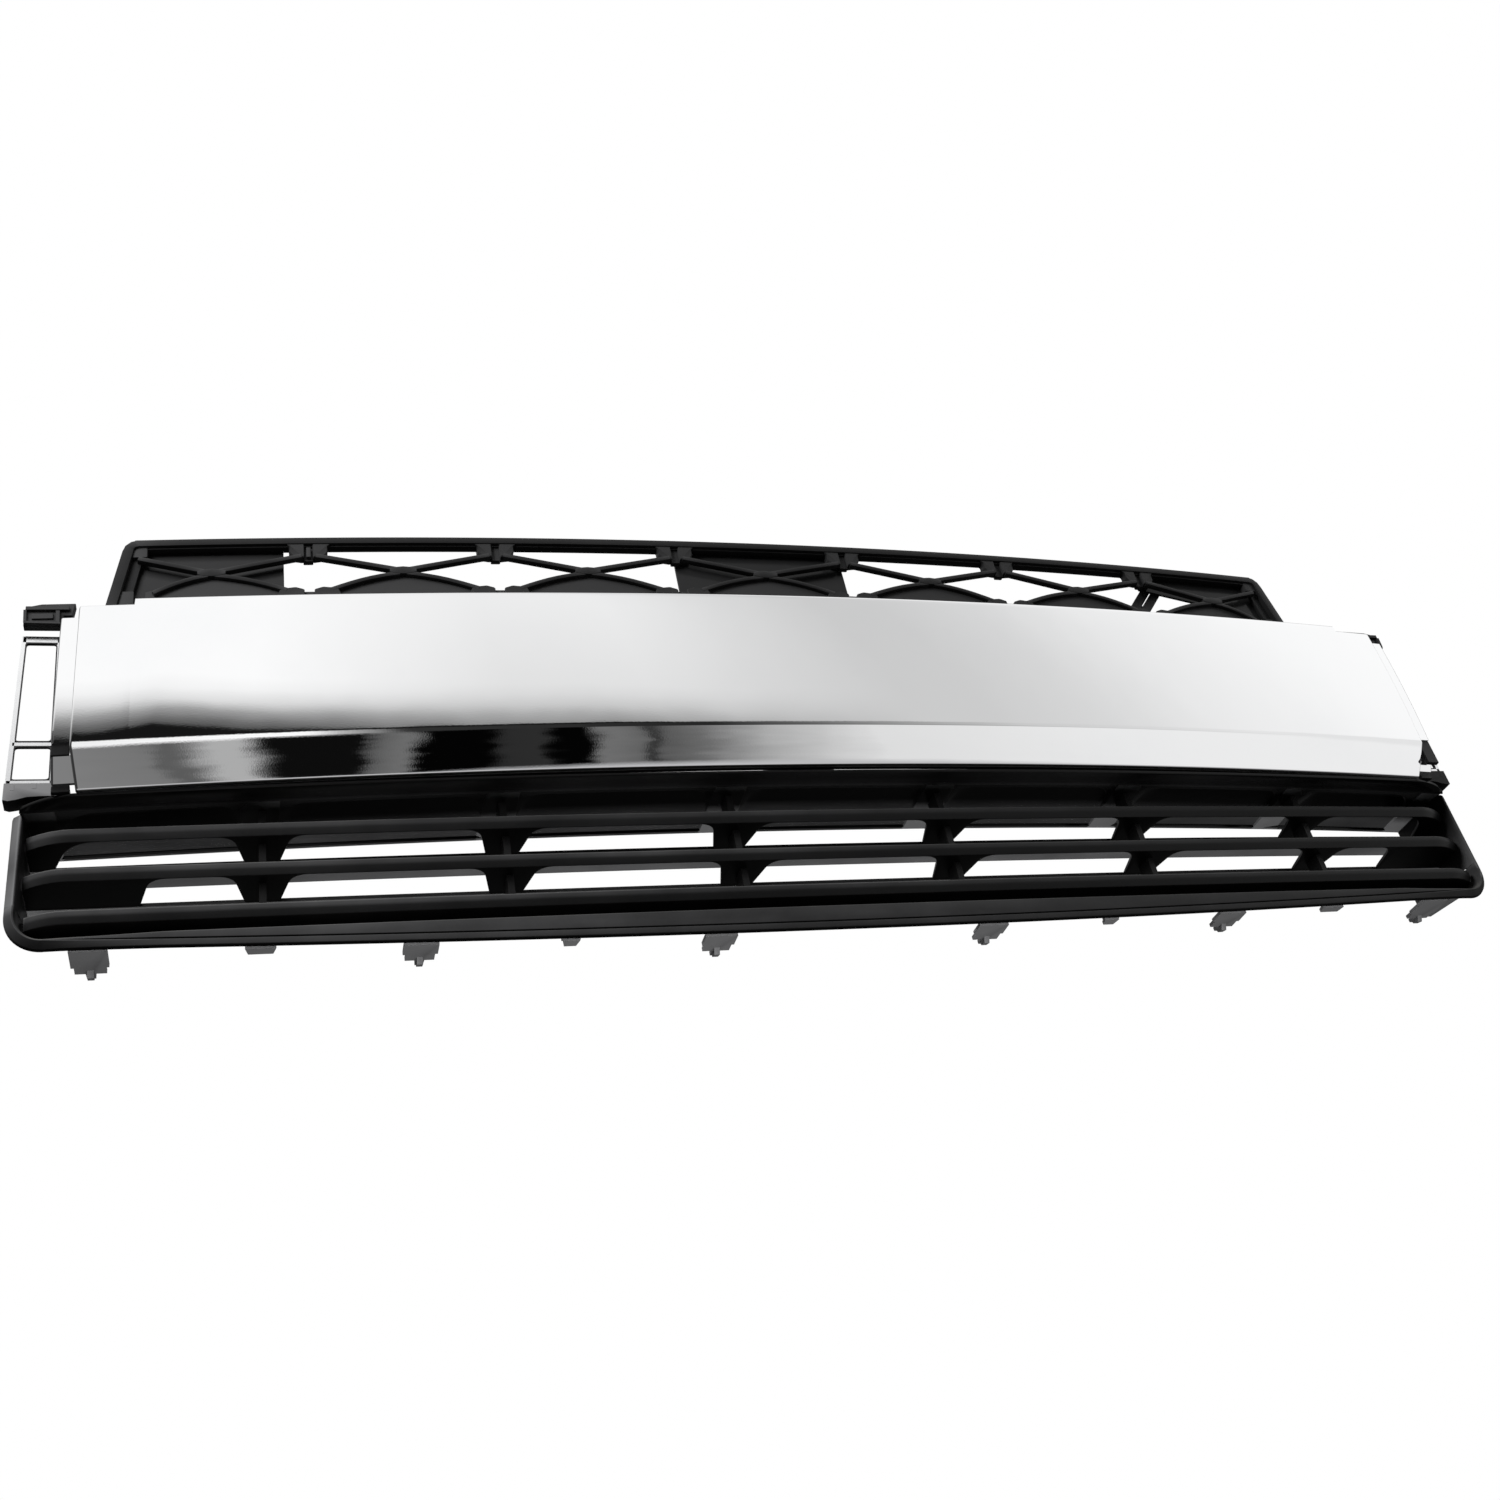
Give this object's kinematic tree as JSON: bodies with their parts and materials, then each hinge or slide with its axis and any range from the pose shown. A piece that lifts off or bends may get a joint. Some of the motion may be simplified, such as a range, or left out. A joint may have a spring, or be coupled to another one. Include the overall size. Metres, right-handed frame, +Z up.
{
  "type": "vehicle front grille",
  "caption": "Bowed vehicle front grille with a chrome centre panel, an open lattice above it, a louvred lower opening and rear mounting brackets.",
  "frame": {"origin": "middle of the rear face of the centre mounting bracket's pad, on the grille's centre line", "axes": "+X to the right as seen from in front of the vehicle, +Y rearwards into the vehicle, +Z up; the visible front faces -Y"},
  "size_m": [1.221, 0.1532, 0.4331],
  "materials": {
    "chrome_plate": "bright chrome plating on moulded plastic",
    "plated_bracket": "plated, slightly soft shine",
    "black_plastic": "fine-grained satin moulded black",
    "gloss_black_plastic": "polished moulded black",
    "zinc_steel": "zinc-plated pressed steel"
  },
  "bodies": {
    "root": {"bottom_tab_1": "black_plastic", "bottom_tab_2": "black_plastic", "bottom_tab_3": "black_plastic", "bottom_tab_4": "black_plastic", "bottom_tab_5": "black_plastic", "bottom_tab_6": "black_plastic", "chrome_carrier": "black_plastic", "chrome_panel": "chrome_plate", "end_bracket_left": "plated_bracket", "end_bracket_right": "plated_bracket", "frame_bottom_rail": "black_plastic", "frame_side_left": "black_plastic", "frame_side_right": "black_plastic", "frame_top_rail": "black_plastic", "lattice_blank_centre": "gloss_black_plastic", "lattice_blank_left": "gloss_black_plastic", "lattice_blank_right": "gloss_black_plastic", "lattice_brace": "black_plastic", "lattice_screw_1": "zinc_steel", "lattice_screw_2": "zinc_steel", "lattice_screw_3": "zinc_steel", "lattice_screw_4": "zinc_steel", "locator_1": "black_plastic", "locator_2": "black_plastic", "locator_3": "black_plastic", "locator_4": "black_plastic", "louvre_lower": "black_plastic", "louvre_middle": "black_plastic", "louvre_upper": "black_plastic", "lower_bracket_left": "black_plastic", "lower_bracket_right": "black_plastic", "mount_bracket_centre": "zinc_steel", "mount_bracket_left": "zinc_steel", "mount_bracket_right": "zinc_steel", "rib_1": "black_plastic", "rib_2": "black_plastic", "rib_3": "black_plastic", "rib_4": "black_plastic", "rib_5": "black_plastic", "rib_6": "black_plastic", "upper_clip_left": "black_plastic", "upper_clip_right": "black_plastic", "upper_lattice": "black_plastic", "upper_ledge": "black_plastic"}
  },
  "joints": []
}
